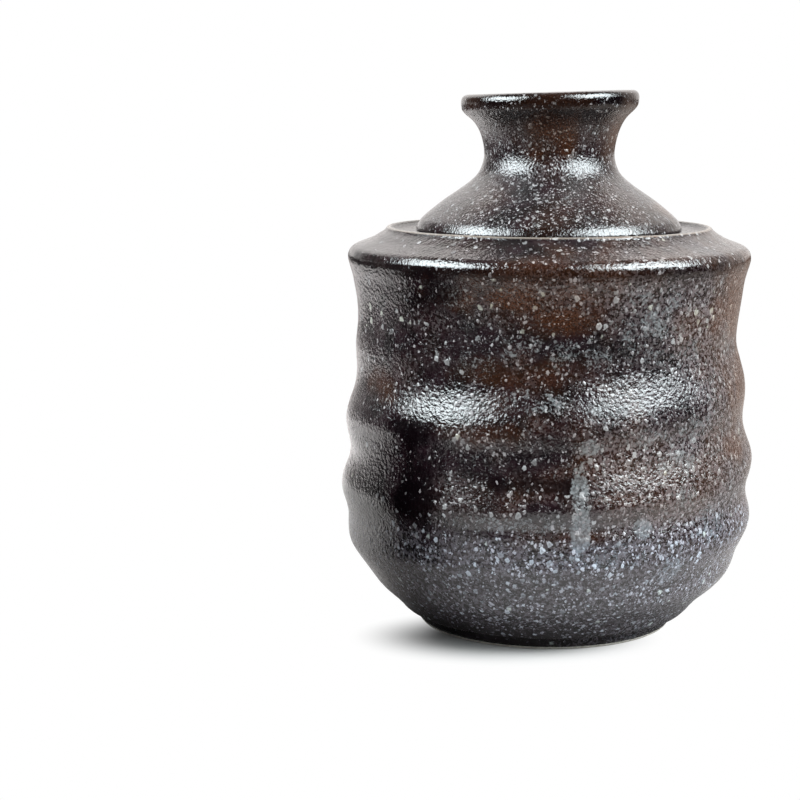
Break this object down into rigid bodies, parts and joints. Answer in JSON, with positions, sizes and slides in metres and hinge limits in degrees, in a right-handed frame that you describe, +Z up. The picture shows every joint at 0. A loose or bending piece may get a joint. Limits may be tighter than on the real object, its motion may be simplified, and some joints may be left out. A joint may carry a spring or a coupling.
{
  "type": "sake flask in warming pot",
  "caption": "Flared-mouth sake flask hanging by its shoulder in a ribbed hot-water warming pot, speckled dark glazed stoneware.",
  "frame": {"origin": "centre of the pot's foot, on the table", "axes": "+Z up along the shared axis of pot and flask; -Y is the side seen from the front; X to the right"},
  "size_m": [0.1197, 0.1199, 0.1539],
  "materials": {
    "pot_glaze": "dark brown-black gloss glaze with dense silver-grey flecks, bare cream clay under the foot ring",
    "flask_glaze": "dark brown-black gloss glaze with silver-grey flecks, bare cream clay under the foot ring"
  },
  "bodies": {
    "pot": {"warming_pot": "pot_glaze"},
    "flask": {"flask": "flask_glaze"}
  },
  "joints": [
    {"name": "flask_lift", "type": "slide", "parent": "pot", "child": "flask", "axis": [0, 0, 1], "range_m": [0, 0.115]}
  ]
}
